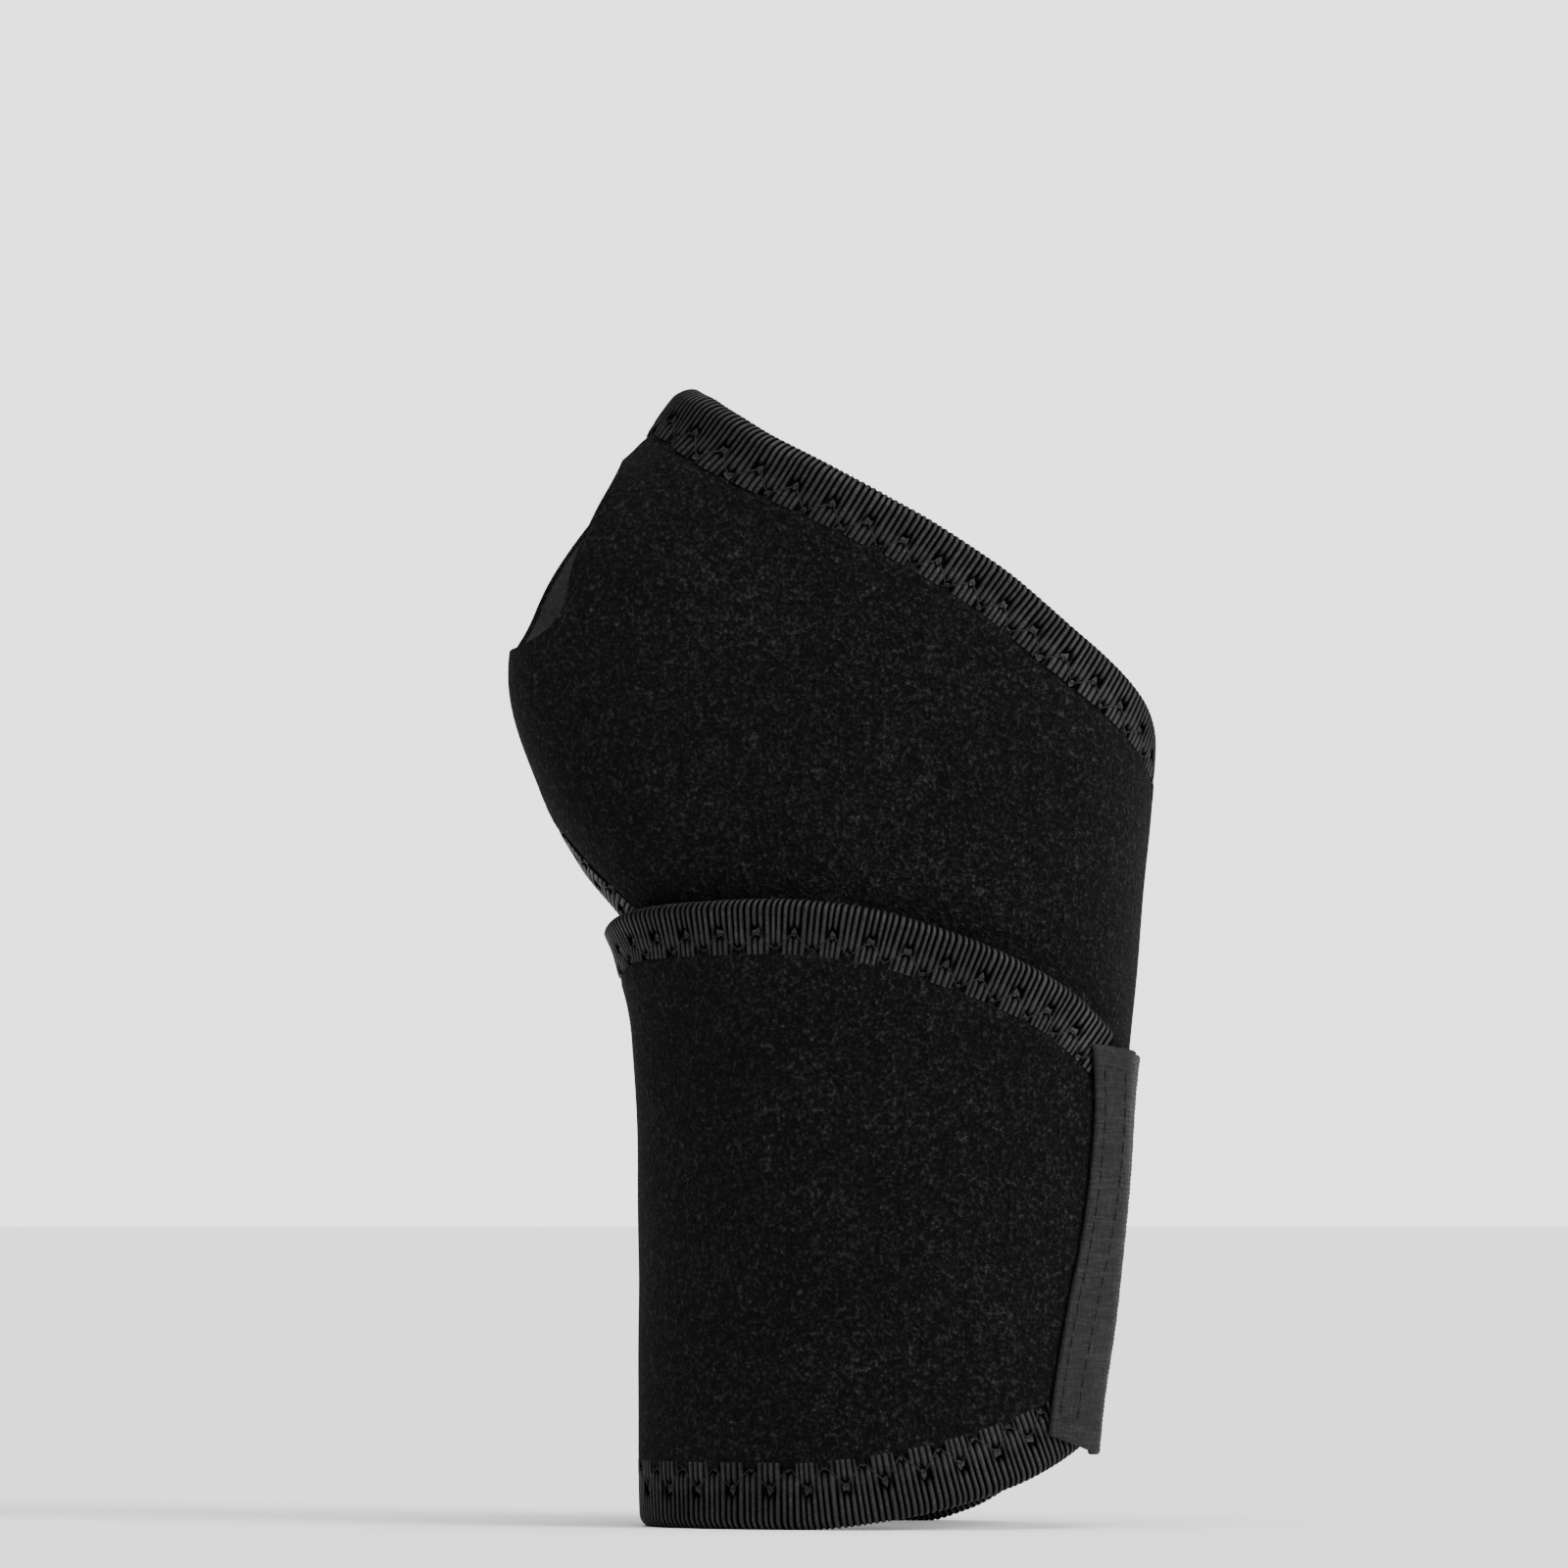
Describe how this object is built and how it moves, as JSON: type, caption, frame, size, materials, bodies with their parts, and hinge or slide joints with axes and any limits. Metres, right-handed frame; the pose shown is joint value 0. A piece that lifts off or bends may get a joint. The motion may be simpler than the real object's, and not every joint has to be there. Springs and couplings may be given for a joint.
{
  "type": "wrist support brace",
  "caption": "Wrap-around wrist support of padded plush-faced foam with bound edges, a thumb hole, an outer wrist strap and a hook tape tab that opens.",
  "frame": {"origin": "middle of the brace's footprint, on the plane that the lower hem stands on", "axes": "+Z towards the fingers, +X towards the little-finger side, -Y out of the back of the hand"},
  "size_m": [0.0934, 0.0608, 0.1631],
  "materials": {
    "plush_face": "matte",
    "lining": "matte",
    "foam": "matte",
    "binding_tape": "satin",
    "thread": "satin",
    "tab_tape": "satin",
    "hooks": "satin"
  },
  "bodies": {
    "hand_wrap": {"hand_face_fabric": "plush_face", "hand_foam_core": "foam", "hand_lining": "lining", "hand_lower_binding": "binding_tape", "hand_lower_stitching": "thread", "hand_upper_binding": "binding_tape", "hand_upper_stitching": "thread", "lobe_binding": "binding_tape", "lobe_face_fabric": "plush_face", "lobe_foam_core": "foam", "lobe_lining": "lining", "lobe_stitching": "thread", "wrist_face_fabric": "plush_face", "wrist_foam_core": "foam", "wrist_lining": "lining", "wrist_lower_binding": "binding_tape", "wrist_lower_stitching": "thread", "wrist_upper_binding": "binding_tape", "wrist_upper_stitching": "thread"},
    "strap_inner": {"strap_inner_face_fabric": "plush_face", "strap_inner_foam_core": "foam", "strap_inner_lining": "lining", "strap_inner_lower_binding": "binding_tape", "strap_inner_lower_stitching": "thread", "strap_inner_upper_binding": "binding_tape", "strap_inner_upper_stitching": "thread"},
    "strap_outer": {"strap_outer_face_fabric": "plush_face", "strap_outer_foam_core": "foam", "strap_outer_lining": "lining", "strap_outer_lower_binding": "binding_tape", "strap_outer_lower_stitching": "thread", "strap_outer_upper_binding": "binding_tape", "strap_outer_upper_stitching": "thread", "tab_sewn_tape": "tab_tape", "tab_stitching": "thread"},
    "hook_tab": {"tab_free_tape": "tab_tape", "tab_hooks": "hooks"}
  },
  "joints": [
    {"name": "strap_open", "type": "hinge", "parent": "hand_wrap", "child": "strap_inner", "pos_m": [-0.02151, -0.02215, 0.0445], "axis": [0.0392, 0.0306, -0.9988], "range_deg": [0, 110]},
    {"name": "strap_flex", "type": "hinge", "parent": "strap_inner", "child": "strap_outer", "pos_m": [0.00695, -0.03033, 0.0445], "axis": [0, 0.0167, -0.9999], "range_deg": [0, 60]},
    {"name": "tab_peel", "type": "hinge", "parent": "strap_outer", "child": "hook_tab", "pos_m": [0.04091, -0.0176, 0.04], "axis": [-0.076, 0.0396, -0.9963], "range_deg": [0, 120]}
  ]
}
